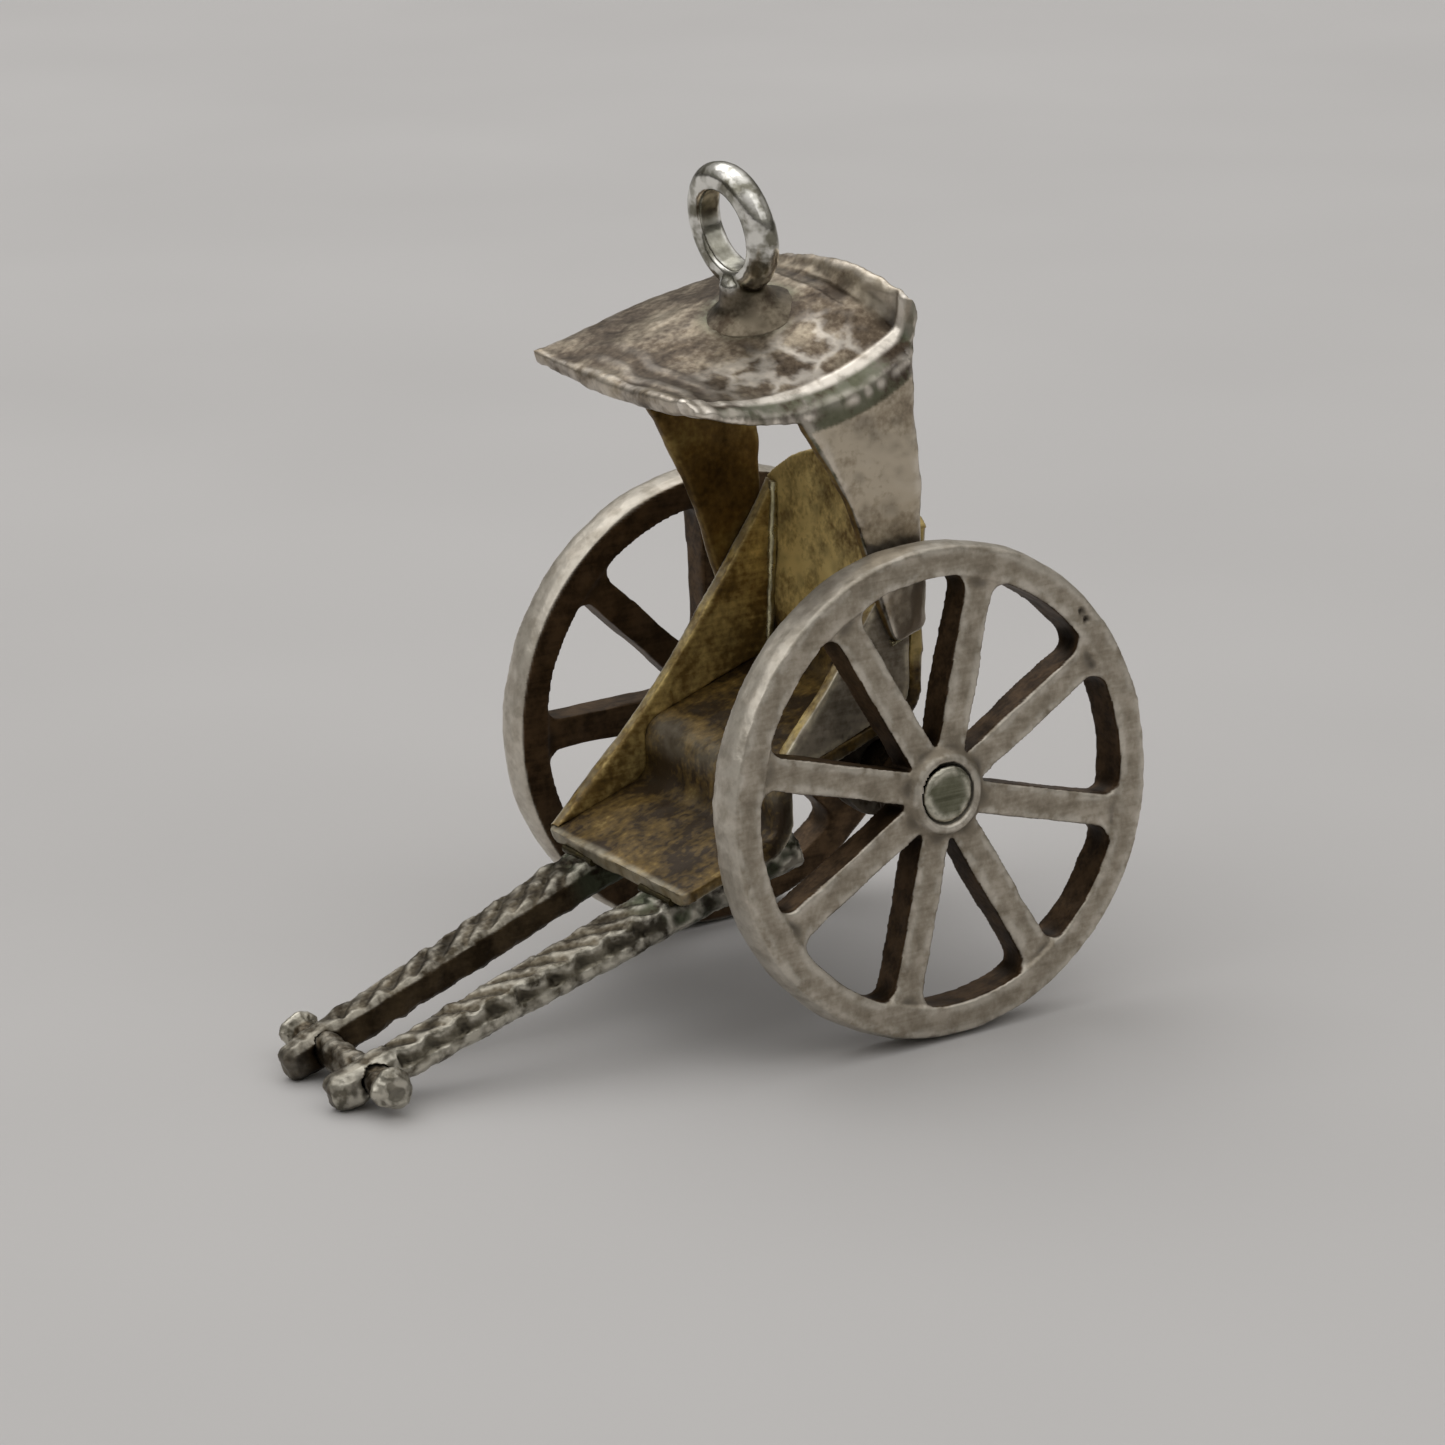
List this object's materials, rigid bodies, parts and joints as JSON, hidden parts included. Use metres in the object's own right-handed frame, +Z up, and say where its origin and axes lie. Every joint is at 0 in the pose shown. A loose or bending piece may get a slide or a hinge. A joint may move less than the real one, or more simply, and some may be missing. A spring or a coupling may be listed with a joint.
{
  "type": "rickshaw charm",
  "caption": "Miniature pulled rickshaw charm with spoked wheels that turn, a folded seat, a bent canopy and a hanging ring, resting on its shaft tips.",
  "frame": {"origin": "middle of the footprint on the surface that the charm stands on", "axes": "+Z up, the shafts point to -Y, +X is the vehicle's own left side and lies along the axle"},
  "size_m": [0.0133, 0.024, 0.0241],
  "materials": {
    "worn_silver": "tarnished silver, worn bright along the edges",
    "dark_silver": "dark tarnished silver, chased and worn",
    "golden_tarnish": "silver with a golden brown tarnish"
  },
  "bodies": {
    "carriage": {"axle": "dark_silver", "axle_hanger_left": "dark_silver", "axle_hanger_right": "dark_silver", "seat": "golden_tarnish", "seat_side_left": "golden_tarnish", "seat_side_right": "golden_tarnish", "canopy": "worn_silver", "bail": "worn_silver", "shaft_left": "dark_silver", "shaft_right": "dark_silver", "crossbar": "dark_silver"},
    "wheel_left": {"wheel_left": "worn_silver"},
    "wheel_right": {"wheel_right": "worn_silver"}
  },
  "joints": [
    {"name": "left_wheel_spin", "type": "hinge", "parent": "carriage", "child": "wheel_left", "pos_m": [0.0057, 0.00502, 0.007], "axis": [0.9962, 0, 0.0872], "continuous": true},
    {"name": "right_wheel_spin", "type": "hinge", "parent": "carriage", "child": "wheel_right", "pos_m": [-0.0057, 0.00502, 0.007], "axis": [1, 0, 0], "continuous": true}
  ]
}
